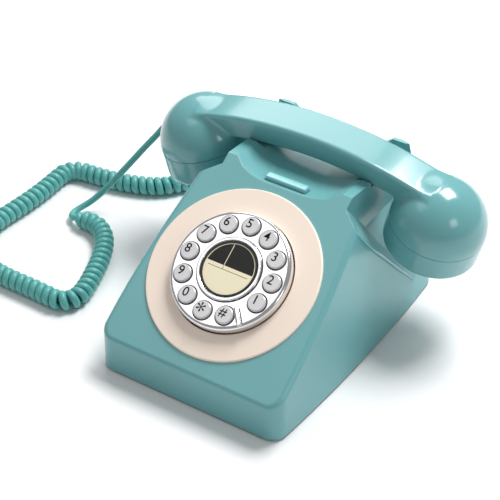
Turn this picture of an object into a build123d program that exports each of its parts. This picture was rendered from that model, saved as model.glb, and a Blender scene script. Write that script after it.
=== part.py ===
"""Desk telephone: wedge case, twelve keys round a label, handset across a cradle, curly cord.

Millimetres, +Z up. The origin is at the middle of the footprint, on the table. The dial faces -Y,
the cord sockets are at the back (+Y), and the handset lies along X.
"""
import math
import os

from build123d import *

os.makedirs("parts", exist_ok=True)

# ---- case ----
CASE_DEPTH = 190.0
FRONT = -CASE_DEPTH / 2
BACK = CASE_DEPTH / 2
FRONT_HEIGHT = 27.0
SLOPE = 33.2                 # tilt of the dial face, degrees
BLANK_TOP = 108.5            # the case is shaped up to here, then cut lower
WALL = 3.0
SKIRT_GAP = 1.6              # the case stands this far off the table
CORNER = 10.0
RIM_ROUND = 3.5              # rounding of the edges round the slope
LOW_FRONT = 64.6             # half widths of the case near the table
LOW_MIDDLE = 69.6
LOW_BACK = 66.8
HIGH_FRONT = 65.0            # the same at the top of the blank
HIGH_MIDDLE = 54.9
HIGH_BACK = 51.5
BACK_RAKE = 9.0

# ---- cradle ----
SHELF_FRONT = FRONT + 107.0  # front edge of the dished shelf, at the middle
SHELF_FLOOR = 96.7           # height of that edge
SHELF_FALL = 7.0             # the shelf falls towards the back, degrees
SHELF_FLAT = 12.0            # half width of its flat middle
SHELF_RADIUS = 70.0
SHELF_EDGE = 30.0            # half width where the horns' inner faces begin
SHELF_HALF = 39.0            # half width at the top of those faces
SHELF_FACE = 7.0             # height of the top of those faces over the floor
SHELF_OPEN = 40.0            # the cut is this tall, and runs this far out over the slope
SHELF_OUT = 60.0
SHELF_BACK = FRONT + 172.0
HORN_FRONT_TOP = 102.2       # height of the front horns where they meet the slope
HORN_BACK_TOP = 99.8         # height of the front horns beside the handle
HORN_START = FRONT + 114.5
SEAT_TOP = 96.3
SEAT_FRONT = FRONT + 137.6
SEAT_BACK = FRONT + 176.0
REAR_HORN_TOP = 105.7
REAR_HORN_LEAN = 2.5         # slant of the rear horns' front faces
REAR_FLOOR = 93.5
REAR_FLAT = 6.0
REAR_RADIUS = 44.0
NEST_X = 44.5                # inner wall of the recess beside each horn
NEST_SPREAD_FRONT = 1.19     # the recess opens outwards by this much y for each x
NEST_SPREAD_BACK = 0.35
NEST_TOP_SPAN = (FRONT + 89, FRONT + 179)      # front and back of the recess, high up
NEST_WAIST = 70.0
NEST_WAIST_SPAN = (FRONT + 132, FRONT + 176)
NEST_TIP = 17.0
NEST_TIP_X = 66.0
NEST_TIP_SPAN = (FRONT + 162, FRONT + 169)
NEST_FAR = 120.0             # how far out sideways the cuts reach
SKY = 120.0                  # and how high
PAST = 10.0                  # and how far past the front and the back

# ---- dial ----
DIAL_UP = 66.2               # distance of the dial centre up the slope
DIAL_SHIFT = -1.9            # the dial sits slightly left of the middle
SURROUND_RADIUS = 56.2
SURROUND_TOP = 1.4
PLATE_RADIUS = 38.6
PLATE_TOP = 7.8
PLATE_THICK = 2.0
KEY_RING = 29.5
KEY_RADIUS = 5.75
KEY_FLANGE = 1.0             # the flange under the plate stands this far out
KEY_ROUND = 0.8
KEY_FOOT = 3.6               # underside of the keys above the dial plane
KEY_TOP = 9.6
KEY_FIRST = -25.4            # angle of key 1, degrees from +X
KEY_PITCH = 28.96
KEY_GAP = 0.3
STOP_RING = 31.5             # middle of the finger stop from the dial centre
STOP_LAG = 0.9               # key pitches from key 1 back to the stop
STOP_LENGTH = 13.0
STOP_WIDTH = 3.4
STOP_HIGH = 1.6
EDGE_ROUND = 0.7             # rounding of the stop and the bezel
CENTRE_HOLE = 18.2
BEZEL_RADIUS = 20.7
KEY_NAMES = ["1", "2", "3", "4", "5", "6", "7", "8", "9", "0", "star", "hash"]

# ---- handset ----
HANDSET_Y = FRONT + 150.5
CAP_X = 85.4
CAP_Z = 77.7
CAP_RADIUS = 30.8
CAP_TILT = 15.0              # the caps face each other by this angle, degrees
CAP_DEPTH = 19.2
DOME_WALL = 2.8
LEAN = 4.0                   # the handset leans towards the dial, degrees
HANDLE_TOP = 42.3            # top of the handle above the cap centres
HANDLE_THICK = 18.5
HANDLE_WIDTH = 27.0
HANDLE_LOW_WIDTH = 20.0
HANDLE_RADIUS = 262.0
HANDLE_REACH = 84.0          # the handle ends this far from the middle, inside the domes

# ---- cord ----
TAIL = 4.4                   # diameter of the uncoiled cord
COIL = 13.4                  # outer diameter of the coil
COIL_Z = COIL / 2 + 0.1
JACK_X = 45.0
JACK_Z = 14.0


def write(built, name):
    """Label a finished piece and write it as one STEP file."""
    built.part.label = name
    export_step(built.part, f"parts/{name}.step")


# ======================================================================== case
slope_foot = (0, FRONT, FRONT_HEIGHT)
slope_normal = (0, -math.sin(math.radians(SLOPE)), math.cos(math.radians(SLOPE)))
slope_plane = Plane(origin=slope_foot, x_dir=(1, 0, 0), z_dir=slope_normal)
dial_centre = (
    DIAL_SHIFT,
    FRONT + DIAL_UP * math.cos(math.radians(SLOPE)),
    FRONT_HEIGHT + DIAL_UP * math.sin(math.radians(SLOPE)),
)
dial = Plane(origin=dial_centre, x_dir=(1, 0, 0), z_dir=slope_normal)


def case_outline(height, front_half, middle_half, back_half, rake, inset):
    """One level of the case: curved sides between a straight front and a straight back."""
    front_y = FRONT + inset
    back_y = BACK - rake - inset
    with BuildSketch(Plane.XY.offset(height)) as level:
        with BuildLine():
            Line((back_half - inset, back_y), (inset - back_half, back_y))
            ThreePointArc(
                (inset - back_half, back_y),
                (inset - middle_half, FRONT + 98),
                (inset - front_half, front_y),
            )
            Line((inset - front_half, front_y), (front_half - inset, front_y))
            ThreePointArc(
                (front_half - inset, front_y),
                (middle_half - inset, FRONT + 98),
                (back_half - inset, back_y),
            )
        make_face()
        fillet(vertices(), CORNER - inset)
    return level.sketch


def case_blank(low, high, inset):
    """The case as a solid wedge, shrunk by inset on the sides, the slope and the back."""
    low_level = case_outline(low, LOW_FRONT, LOW_MIDDLE, LOW_BACK, 0, inset)
    high_level = case_outline(high, HIGH_FRONT, HIGH_MIDDLE, HIGH_BACK, BACK_RAKE, inset)
    loft([low_level, high_level], ruled=True)
    split(bisect_by=slope_plane.offset(-inset), keep=Keep.BOTTOM)


def shelf_cut(grow):
    """The dished shelf between the front horns, falling towards the back under the handle."""
    fall = math.radians(SHELF_FALL)
    across = Plane(
        origin=(0, SHELF_FRONT, SHELF_FLOOR - grow),
        x_dir=(1, 0, 0),
        z_dir=(0, -math.cos(fall), math.sin(fall)),
    )
    edge = SHELF_EDGE + grow
    half = SHELF_HALF + grow
    middle = (SHELF_FLAT + edge) / 2
    rise = flank_rise(SHELF_EDGE - SHELF_FLAT)
    middle_rise = flank_rise((SHELF_EDGE - SHELF_FLAT) / 2)
    with BuildSketch(across) as dish:
        with BuildLine():
            Line((-SHELF_FLAT, 0), (SHELF_FLAT, 0))
            ThreePointArc((SHELF_FLAT, 0), (middle, middle_rise), (edge, rise))
            Polyline((edge, rise), (half, SHELF_FACE), (half + 2, SHELF_OPEN))
            Line((half + 2, SHELF_OPEN), (-half - 2, SHELF_OPEN))
            Polyline((-half - 2, SHELF_OPEN), (-half, SHELF_FACE), (-edge, rise))
            ThreePointArc((-edge, rise), (-middle, middle_rise), (-SHELF_FLAT, 0))
        make_face()
    extrude(dish.sketch, amount=SHELF_OUT, mode=Mode.SUBTRACT)
    back_length = (SHELF_BACK + grow - SHELF_FRONT) / math.cos(fall)
    extrude(dish.sketch, amount=-back_length, mode=Mode.SUBTRACT)


def flank_rise(reach):
    """How far the shelf's curved flank has risen at this distance from the flat middle."""
    return SHELF_RADIUS - math.sqrt(SHELF_RADIUS**2 - reach**2)


def horn_cut(grow):
    """Trims the tops: sloping front horns, the level seat of the handle, and the rear horns."""
    slope = (HORN_BACK_TOP - HORN_FRONT_TOP) / (SEAT_FRONT - HORN_START)
    front_y = FRONT - PAST
    front_z = HORN_FRONT_TOP + slope * (front_y - HORN_START)
    with BuildSketch(Plane.YZ.offset(-NEST_FAR)) as trim:
        with BuildLine():
            Polyline(
                (front_y, SKY),
                (front_y, front_z - grow),
                (SEAT_FRONT - grow, HORN_BACK_TOP - grow),
                (SEAT_FRONT - grow, SEAT_TOP - grow),
                (SEAT_BACK + grow, SEAT_TOP - grow),
                (SEAT_BACK + REAR_HORN_LEAN + grow, REAR_HORN_TOP - grow),
                (BACK + PAST, REAR_HORN_TOP - grow),
                (BACK + PAST, SKY),
                close=True,
            )
        make_face()
    extrude(trim.sketch, amount=2 * NEST_FAR, mode=Mode.SUBTRACT)


def rear_cut(grow):
    """The dip in the back edge between the rear horns."""
    radius = REAR_RADIUS - grow
    floor = REAR_FLOOR - grow
    half = REAR_FLAT + radius
    with BuildSketch(Plane.XZ.offset(-(BACK + PAST))) as dip:
        with BuildLine():
            Line((-REAR_FLAT, floor), (REAR_FLAT, floor))
            RadiusArc((REAR_FLAT, floor), (half, floor + radius), -radius)
            Line((half, floor + radius), (-half, floor + radius))
            RadiusArc((-half, floor + radius), (-REAR_FLAT, floor), -radius)
        make_face()
    extrude(dip.sketch, amount=BACK + PAST - SEAT_BACK + 6, mode=Mode.SUBTRACT)


def nest_level(side, height, inner_x, front_y, back_y, grow):
    """One level of the recess under an end of the handset, open outwards."""
    outwards = NEST_FAR - inner_x
    with BuildSketch(Plane.XY.offset(height)) as level:
        with BuildLine():
            Polyline(
                (side * (inner_x - grow), front_y - grow),
                (side * (inner_x - grow), back_y + grow),
                (side * NEST_FAR, back_y + grow + NEST_SPREAD_BACK * outwards),
                (side * NEST_FAR, front_y - grow - NEST_SPREAD_FRONT * outwards),
                close=True,
            )
        make_face()
    return level.sketch


def nest_cut(grow):
    """The recess beside the horns that each end of the handset hangs in."""
    for side in (-1, 1):
        top = nest_level(side, SKY, NEST_X, *NEST_TOP_SPAN, grow)
        waist = nest_level(side, NEST_WAIST, NEST_X + 0.5, *NEST_WAIST_SPAN, grow)
        tip = nest_level(side, NEST_TIP - 2 * grow, NEST_TIP_X, *NEST_TIP_SPAN, grow)
        loft([waist, top], ruled=True, mode=Mode.SUBTRACT)
        loft([tip, waist], ruled=True, mode=Mode.SUBTRACT)


def cradle_cuts(grow):
    """Everything that is taken from the top and the sides of the case."""
    shelf_cut(grow)
    horn_cut(grow)
    rear_cut(grow)
    nest_cut(grow)


with BuildPart() as cavity:
    case_blank(-5, BLANK_TOP, WALL)
    cradle_cuts(WALL)

PLUNGER_X = 34.0
plunger_spots = [(-PLUNGER_X, HANDSET_Y), (PLUNGER_X, HANDSET_Y)]
front_bosses = [(-50.0, FRONT + 17), (50.0, FRONT + 17)]
rear_bosses = [(-30.0, BACK - 13), (30.0, BACK - 13)]
BOSS_FOOT = 5.2
bar_y = FRONT + 112.5

with BuildPart() as case:
    case_blank(SKIRT_GAP, BLANK_TOP, 0)
    slope_rim = [edge for edge in case.edges() if slope_plane.contains(edge @ 0.5)]
    fillet(slope_rim, RIM_ROUND)
    cradle_cuts(0)
    add(cavity.part, mode=Mode.SUBTRACT)
    with BuildSketch(Plane.XY.offset(BOSS_FOOT)):
        with Locations(*front_bosses):
            Circle(4)
    extrude(amount=29)
    with BuildSketch(Plane.XY.offset(BOSS_FOOT)):
        with Locations(*rear_bosses):
            Circle(4)
    extrude(amount=84)
    with BuildSketch(Plane.XY.offset(BOSS_FOOT)):
        with Locations(*front_bosses, *rear_bosses):
            Circle(1.5)
    extrude(amount=14, mode=Mode.SUBTRACT)
    with BuildSketch(dial.offset(20)):
        Circle(45)
    extrude(amount=-30, mode=Mode.SUBTRACT)
    with BuildSketch(Plane.XY.offset(SEAT_TOP + 10)):
        with Locations(*plunger_spots):
            Circle(2.9)
    extrude(amount=-20, mode=Mode.SUBTRACT)
    with BuildSketch(Plane.XY.offset(SHELF_FLOOR + 20)):
        with Locations((0, bar_y)):
            Rectangle(29.6, 6.2)
    extrude(amount=-28, mode=Mode.SUBTRACT)
    with BuildSketch(Plane.XZ.offset(-BACK - 5)):
        with Locations((-JACK_X, JACK_Z), (JACK_X, JACK_Z)):
            Rectangle(15, 13)
        with Locations((0, JACK_Z)):
            Rectangle(16, 4)
    extrude(amount=12, mode=Mode.SUBTRACT)
write(case, "case")

# ================================================================ base and its fittings
PLATE_LOW = SKIRT_GAP + 0.4
PLATE_HIGH = BOSS_FOOT - 0.2
feet_spots = [(-48.0, FRONT + 34), (48.0, FRONT + 34), (-46.0, BACK - 38), (46.0, BACK - 38)]

with BuildPart() as base_plate:
    extrude(case_outline(PLATE_LOW, 64.6, 69.2, 66.4, 0.4, WALL + 1.3), amount=PLATE_HIGH - PLATE_LOW)
    with BuildSketch(Plane.XY.offset(PLATE_LOW)):
        with Locations(*front_bosses, *rear_bosses):
            Circle(2.0)
        with Locations(*feet_spots):
            Circle(7.2)
    extrude(amount=1.4, mode=Mode.SUBTRACT)
    with BuildSketch(Plane.XY.offset(PLATE_LOW)):
        with Locations(*front_bosses, *rear_bosses):
            Circle(1.7)
    extrude(amount=10, mode=Mode.SUBTRACT)
    with BuildSketch(Plane.XY.offset(PLATE_LOW)):
        for row in range(7):
            with Locations((0, FRONT + 110 + 7 * row)):
                SlotOverall(40, 2.4)
    extrude(amount=10, mode=Mode.SUBTRACT)
write(base_plate, "base_plate")

with BuildPart() as feet:
    with BuildSketch(Plane.XY):
        with Locations(*feet_spots):
            Circle(7)
    extrude(amount=PLATE_LOW + 1.4)
    chamfer(feet.faces().sort_by(Axis.Z)[:4].edges(), 0.8)
write(feet, "rubber_feet")

with BuildPart() as case_screws:
    with BuildSketch(Plane.XY.offset(PLATE_LOW - 0.1)):
        with Locations(*front_bosses, *rear_bosses):
            Circle(1.9)
    extrude(amount=1.4)
    with BuildSketch(Plane.XY.offset(PLATE_LOW)):
        with Locations(*front_bosses, *rear_bosses):
            Circle(1.35)
    extrude(amount=14)
write(case_screws, "case_screws")

with BuildPart() as base_weight:
    with BuildSketch(Plane.XY.offset(PLATE_HIGH)):
        with Locations((0, FRONT + 26)):
            RectangleRounded(74, 30, 3)
    extrude(amount=9)
    fillet(base_weight.faces().sort_by(Axis.Z)[-1].edges(), 1)
write(base_weight, "base_weight")

board_spots = [(-38.0, FRONT + 50), (38.0, FRONT + 50), (-38.0, FRONT + 94), (38.0, FRONT + 94)]
with BuildPart() as main_board:
    with BuildSketch(Plane.XY.offset(PLATE_HIGH + 5)):
        with Locations((0, FRONT + 72)):
            RectangleRounded(88, 56, 2)
        with Locations(*board_spots):
            Circle(1.6, mode=Mode.SUBTRACT)
    extrude(amount=1.6)
write(main_board, "main_board")

with BuildPart() as board_posts:
    with BuildSketch(Plane.XY.offset(PLATE_HIGH)):
        with Locations(*board_spots):
            Circle(3)
    extrude(amount=5)
    with BuildSketch(Plane.XY.offset(PLATE_HIGH + 5)):
        with Locations(*board_spots):
            Circle(1.5)
    extrude(amount=3)
write(board_posts, "board_posts")

with BuildPart() as board_components:
    with BuildSketch(Plane.XY.offset(PLATE_HIGH + 6.6)):
        with Locations((-14, FRONT + 70)):
            Rectangle(24, 9)
        with Locations((20, FRONT + 78)):
            Rectangle(10, 10)
    extrude(amount=3)
    with BuildSketch(Plane.XY.offset(PLATE_HIGH + 6.6)):
        with GridLocations(13, 0, 4, 1):
            with Locations((0, FRONT + 54)):
                Circle(4)
    extrude(amount=9)
write(board_components, "board_components")


# ======================================================================== dial
def top_face(built, plane):
    """The face of a piece that is furthest along the normal of a plane."""
    return built.faces().sort_by(Axis(plane.origin, plane.z_dir))[-1]


def ring_points(radius):
    """Places of the twelve keys on the dial plane, anticlockwise from key 1."""
    spots = []
    for index in range(12):
        angle = math.radians(KEY_FIRST + KEY_PITCH * index)
        spots.append((radius * math.cos(angle), radius * math.sin(angle)))
    return spots


key_spots = ring_points(KEY_RING)

with BuildPart() as surround:
    with BuildSketch(dial):
        Circle(SURROUND_RADIUS)
        Circle(PLATE_RADIUS + 0.6, mode=Mode.SUBTRACT)
    extrude(amount=SURROUND_TOP)
    fillet(top_face(surround, dial).edges().sort_by(SortBy.LENGTH)[-1], 0.9)
    with BuildSketch(dial):
        Circle(44.7)
        Circle(PLATE_RADIUS + 0.6, mode=Mode.SUBTRACT)
    extrude(amount=-6)
write(surround, "dial_surround")

with BuildPart() as dial_plate:
    with BuildSketch(dial.offset(-1)):
        Circle(PLATE_RADIUS)
    extrude(amount=PLATE_TOP + 1)
    fillet(top_face(dial_plate, dial).edges(), 2.4)
    with BuildSketch(dial.offset(-1)):
        Circle(PLATE_RADIUS - 2)
    extrude(amount=PLATE_TOP + 1 - PLATE_THICK, mode=Mode.SUBTRACT)
    with BuildSketch(dial.offset(PLATE_TOP - 4)):
        Circle(CENTRE_HOLE)
        with Locations(*key_spots):
            Circle(KEY_RADIUS + KEY_GAP)
    extrude(amount=8, mode=Mode.SUBTRACT)
write(dial_plate, "dial_plate")

STOP_ANGLE = KEY_FIRST - KEY_PITCH * STOP_LAG
with BuildPart() as finger_stop:
    with BuildSketch(dial.offset(PLATE_TOP)):
        with PolarLocations(STOP_RING, 1, start_angle=STOP_ANGLE):
            SlotOverall(STOP_LENGTH, STOP_WIDTH)
    extrude(amount=STOP_HIGH)
    fillet(top_face(finger_stop, dial).edges(), EDGE_ROUND)
write(finger_stop, "finger_stop")

with BuildPart() as bezel:
    with BuildSketch(dial.offset(PLATE_TOP)):
        Circle(BEZEL_RADIUS)
        Circle(CENTRE_HOLE, mode=Mode.SUBTRACT)
    extrude(amount=1.7)
    fillet(top_face(bezel, dial).edges(), EDGE_ROUND)
write(bezel, "centre_bezel")

FLANGE_TOP = PLATE_TOP - PLATE_THICK - 0.1
for key_name, key_spot in zip(KEY_NAMES, key_spots):
    with BuildPart() as key:
        with BuildSketch(dial.offset(KEY_FOOT)):
            with Locations(key_spot):
                Circle(KEY_RADIUS)
        extrude(amount=KEY_TOP - KEY_FOOT)
        fillet(top_face(key, dial).edges(), KEY_ROUND)
        with BuildSketch(dial.offset(KEY_FOOT)):
            with Locations(key_spot):
                Circle(KEY_RADIUS + KEY_FLANGE)
        extrude(amount=FLANGE_TOP - KEY_FOOT)
    write(key, f"key_{key_name}")

BUTTON_TOP = 8.6
with BuildPart() as redial_button:
    with BuildSketch(dial.offset(KEY_FOOT)):
        Circle(CENTRE_HOLE - KEY_GAP)
    extrude(amount=BUTTON_TOP + 0.8 - KEY_FOOT)
    with BuildSketch(dial.offset(BUTTON_TOP)):
        Circle(CENTRE_HOLE - 1.3)
    extrude(amount=2, mode=Mode.SUBTRACT)
    with BuildSketch(dial.offset(KEY_FOOT)):
        Circle(CENTRE_HOLE + 1.4)
    extrude(amount=FLANGE_TOP - KEY_FOOT)
write(redial_button, "redial_button")

with BuildPart() as redial_label:
    with BuildSketch(dial.offset(BUTTON_TOP)):
        Circle(CENTRE_HOLE - 1.4)
    extrude(amount=0.3)
write(redial_label, "redial_label")

with BuildPart() as redial_lens:
    with BuildSketch(dial.offset(BUTTON_TOP + 0.3)):
        Circle(CENTRE_HOLE - 1.4)
    extrude(amount=1.1)
    fillet(top_face(redial_lens, dial).edges(), 0.8)
write(redial_lens, "redial_lens")

with BuildPart() as key_mat:
    with BuildSketch(dial.offset(-1.5)):
        Circle(35.6)
    extrude(amount=1.5)
    with BuildSketch(dial):
        Circle(8)
        with Locations(*key_spots):
            Circle(3.6)
    extrude(amount=1.4, taper=12)
write(key_mat, "key_mat")

with BuildPart() as keypad_board:
    with BuildSketch(dial.offset(-3.2)):
        Circle(35.6)
    extrude(amount=1.6)
write(keypad_board, "keypad_board")

with BuildPart() as keypad_cup:
    with BuildSketch(dial.offset(-9)):
        Circle(PLATE_RADIUS)
    extrude(amount=7.9)
    with BuildSketch(dial.offset(-1.1)):
        Circle(36.2)
    extrude(amount=-2.1, mode=Mode.SUBTRACT)
    with BuildSketch(dial.offset(-3.2)):
        Circle(34)
    extrude(amount=-3.8, mode=Mode.SUBTRACT)
write(keypad_cup, "keypad_cup")

# ======================================================================== hook
with BuildPart() as recall_bar:
    with BuildSketch(Plane.XY.offset(88.2)):
        with Locations((0, bar_y)):
            RectangleRounded(28.8, 5.4, 1)
    extrude(amount=11)
    fillet(recall_bar.faces().sort_by(Axis.Z)[-1].edges(), 0.8)
write(recall_bar, "recall_bar")

PLUNGER_TOP = SEAT_TOP + 2.4
PLUNGER_FOOT = 73.6
for plunger_name, plunger_spot in zip(("left", "right"), plunger_spots):
    with BuildPart() as plunger:
        with BuildSketch(Plane.XY.offset(PLUNGER_FOOT)):
            with Locations(plunger_spot):
                Circle(2.6)
        extrude(amount=PLUNGER_TOP - PLUNGER_FOOT)
        fillet(plunger.faces().sort_by(Axis.Z)[-1].edges(), 1.6)
        with BuildSketch(Plane.XY.offset(PLUNGER_FOOT)):
            with Locations(plunger_spot):
                Circle(3.6)
        extrude(amount=5)
    write(plunger, f"plunger_{plunger_name}")

LEVER_Y = HANDSET_Y - 26
LEVER_Z = 72.0
with BuildPart() as hook_lever:
    with BuildSketch(Plane.XY.offset(LEVER_Z - 1)):
        with Locations((-PLUNGER_X, HANDSET_Y - 11), (PLUNGER_X, HANDSET_Y - 11)):
            Rectangle(6, 30)
        with Locations((0, HANDSET_Y - 16)):
            Rectangle(2 * PLUNGER_X + 6, 6)
    extrude(amount=2)
    with BuildSketch(Plane.YZ.offset(-PLUNGER_X - 3)):
        with Locations((LEVER_Y, LEVER_Z)):
            Circle(2)
    extrude(amount=2 * PLUNGER_X + 6)
write(hook_lever, "hook_lever")

with BuildPart() as hook_bracket:
    with BuildSketch(Plane.XY.offset(PLATE_HIGH)):
        with Locations((-12, LEVER_Y), (12, LEVER_Y)):
            Rectangle(3, 12)
    extrude(amount=LEVER_Z + 4 - PLATE_HIGH)
    with BuildSketch(Plane.YZ.offset(-20)):
        with Locations((LEVER_Y, LEVER_Z)):
            Circle(2.3)
    extrude(amount=40, mode=Mode.SUBTRACT)
    with BuildSketch(Plane.XY.offset(PLATE_HIGH)):
        with Locations((0, LEVER_Y)):
            Rectangle(27, 12)
    extrude(amount=2)
write(hook_bracket, "hook_bracket")

with BuildPart() as hook_switch:
    with BuildSketch(Plane.XY.offset(PLATE_HIGH + 2)):
        with Locations((0, LEVER_Y)):
            Rectangle(20, 9)
    extrude(amount=58)
    fillet(hook_switch.edges().filter_by(Axis.Z), 1)
write(hook_switch, "hook_switch")

# ====================================================================== ringer
GONG_Y = FRONT + 148
GONG_X = 25.0
GONG_Z = 26.0
GONG_RADIUS = 19.0
for gong_name, gong_side in (("left", -1), ("right", 1)):
    gong_plane = Plane(origin=(gong_side * GONG_X, GONG_Y, GONG_Z), z_dir=(0, -1, 0), x_dir=(1, 0, 0))
    with BuildPart() as gong:
        with BuildSketch(gong_plane):
            with BuildLine():
                Line((0, 12), (5, 12))
                ThreePointArc((5, 12), (15.5, 8), (GONG_RADIUS, 0))
                Line((GONG_RADIUS, 0), (GONG_RADIUS - 1.6, 0))
                ThreePointArc((GONG_RADIUS - 1.6, 0), (14.2, 6.9), (5, 10.4))
                Line((5, 10.4), (0, 10.4))
                Line((0, 10.4), (0, 12))
            make_face()
        revolve(axis=Axis(gong_plane.origin, (0, 0, 1)))
    write(gong, f"gong_{gong_name}")

with BuildPart() as ringer_frame:
    with BuildSketch(Plane.XY.offset(PLATE_HIGH)):
        with Locations((0, GONG_Y)):
            Rectangle(64, 12)
    extrude(amount=2)
    with BuildSketch(Plane.XY.offset(PLATE_HIGH + 2)):
        with Locations((-GONG_X, GONG_Y), (GONG_X, GONG_Y)):
            Circle(3)
    extrude(amount=GONG_Z + 10.4 - PLATE_HIGH - 2)
write(ringer_frame, "ringer_frame")

with BuildPart() as gong_screws:
    with BuildSketch(Plane.XY.offset(GONG_Z + 12)):
        with Locations((-GONG_X, GONG_Y), (GONG_X, GONG_Y)):
            Circle(3.2)
    extrude(amount=1.8)
write(gong_screws, "gong_screws")

with BuildPart() as ringer_coil:
    with BuildSketch(Plane.XZ.offset(-(GONG_Y + 4))):
        with Locations((0, PLATE_HIGH + 10)):
            Circle(7.5)
    extrude(amount=20)
write(ringer_coil, "ringer_coil")

with BuildPart() as clapper:
    with BuildSketch(Plane.XZ.offset(-(GONG_Y + 7))):
        with Locations((0, 18.5)):
            Rectangle(2.4, 19)
        with Locations((0, 28)):
            Circle(4)
    extrude(amount=2.4)
    with BuildSketch(Plane.XZ.offset(-(GONG_Y + 9.5))):
        with Locations((0, 11)):
            Circle(1.8)
    extrude(amount=5)
write(clapper, "clapper")

# ==================================================================== sockets
for jack_name, jack_side in (("handset_jack", -1), ("line_jack", 1)):
    with BuildPart() as jack:
        with BuildSketch(Plane.XZ.offset(-(BACK - 0.6))):
            with Locations((jack_side * JACK_X, JACK_Z)):
                Rectangle(14.6, 12.6)
        extrude(amount=17)
        with BuildSketch(Plane.XZ.offset(-BACK)):
            with Locations((jack_side * JACK_X, JACK_Z)):
                Rectangle(10.4, 7.4)
        extrude(amount=13, mode=Mode.SUBTRACT)
    write(jack, jack_name)

with BuildPart() as volume_switch:
    with BuildSketch(Plane.XZ.offset(-(BACK - 5.4))):
        with Locations((0, JACK_Z)):
            Rectangle(22, 9)
    extrude(amount=8)
    with BuildSketch(Plane.XZ.offset(-BACK)):
        with Locations((0, JACK_Z)):
            Rectangle(14, 3.6)
    extrude(amount=9, mode=Mode.SUBTRACT)
write(volume_switch, "volume_switch")

with BuildPart() as volume_knob:
    with BuildSketch(Plane.XZ.offset(-(BACK - 0.4))):
        with Locations((-4, JACK_Z)):
            Rectangle(5, 3)
    extrude(amount=7)
write(volume_knob, "volume_knob")

# ===================================================================== handset
lean = math.radians(LEAN)
tilt = math.radians(CAP_TILT)
handset = Plane(
    origin=(0, HANDSET_Y, CAP_Z),
    x_dir=(1, 0, 0),
    z_dir=(0, -math.sin(lean), math.cos(lean)),
)


def cap_plane(side):
    """Plane of the seam between a dome and its cap; its normal points up through the dome."""
    return Plane(
        origin=handset.origin + handset.x_dir * (side * CAP_X),
        x_dir=handset.x_dir * math.cos(tilt) - handset.z_dir * (side * math.sin(tilt)),
        z_dir=handset.x_dir * (side * math.sin(tilt)) + handset.z_dir * math.cos(tilt),
    )


def upright(plane):
    """Plane through the normal of the given plane, for profiles that are turned about it."""
    return Plane(origin=plane.origin, x_dir=plane.x_dir, z_dir=-plane.y_dir)


def dome(seam, radius, mode):
    """Half a ball standing on the seam plane."""
    with BuildSketch(upright(seam)) as profile:
        with BuildLine():
            Line((0, 0), (radius, 0))
            CenterArc((0, 0), radius, 0, 90)
            Line((0, radius), (0, 0))
        make_face()
    revolve(profile.sketch, axis=Axis(seam.origin, seam.z_dir), mode=mode)


def handle_arch():
    """The arched handle: a tapered section turned about the centre of the arch."""
    half_angle = math.asin(HANDLE_REACH / HANDLE_RADIUS)
    hub = handset.origin + handset.z_dir * (HANDLE_TOP - HANDLE_RADIUS)
    radial = handset.z_dir * math.cos(half_angle) - handset.x_dir * math.sin(half_angle)
    end = Plane(
        origin=hub + radial * HANDLE_RADIUS,
        x_dir=handset.y_dir,
        z_dir=handset.y_dir.cross(radial),
    )
    with BuildSketch(end) as section:
        with BuildLine():
            Polyline(
                (HANDLE_WIDTH / 2, 0),
                (HANDLE_LOW_WIDTH / 2, -HANDLE_THICK),
                (-HANDLE_LOW_WIDTH / 2, -HANDLE_THICK),
                (-HANDLE_WIDTH / 2, 0),
                close=True,
            )
        make_face()
        fillet(vertices(), 2.2)
    revolve(
        section.sketch,
        axis=Axis(hub, handset.y_dir),
        revolution_arc=2 * math.degrees(half_angle),
    )


OUTLET_YAW = math.radians(165)
OUTLET_DIP = math.radians(32)
outlet_dir = Vector(
    math.cos(OUTLET_YAW) * math.cos(OUTLET_DIP),
    math.sin(OUTLET_YAW) * math.cos(OUTLET_DIP),
    -math.sin(OUTLET_DIP),
)
outlet_start = Vector(-CAP_X, HANDSET_Y, CAP_Z + 16) + outlet_dir * 25
outlet = Plane(origin=outlet_start, z_dir=outlet_dir)

handle_core = Plane(
    origin=handset.origin + handset.z_dir * (HANDLE_TOP - 13),
    x_dir=handset.y_dir,
    z_dir=handset.x_dir,
)

with BuildPart() as handset_shell:
    handle_arch()
    for side in (-1, 1):
        dome(cap_plane(side), CAP_RADIUS, Mode.ADD)
    for side in (-1, 1):
        dome(cap_plane(side), CAP_RADIUS - DOME_WALL, Mode.SUBTRACT)
    with BuildSketch(handle_core.offset(-62)):
        Circle(3.5)
    extrude(amount=124, mode=Mode.SUBTRACT)
    with BuildSketch(handle_core.offset(-23)):
        Rectangle(11.6, 7)
    extrude(amount=46, mode=Mode.SUBTRACT)
    for side in (-1, 1):
        with BuildSketch(cap_plane(side)):
            Circle(CAP_RADIUS - 1.5)
            Circle(CAP_RADIUS - 5.6, mode=Mode.SUBTRACT)
        extrude(amount=2.4)
        with BuildSketch(cap_plane(side)):
            Circle(CAP_RADIUS - 3.2)
            Circle(CAP_RADIUS - 5.6, mode=Mode.SUBTRACT)
        extrude(amount=-5)
    with BuildSketch(outlet):
        Circle(4.4)
    extrude(amount=30, mode=Mode.SUBTRACT)
write(handset_shell, "handset_shell")

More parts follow.
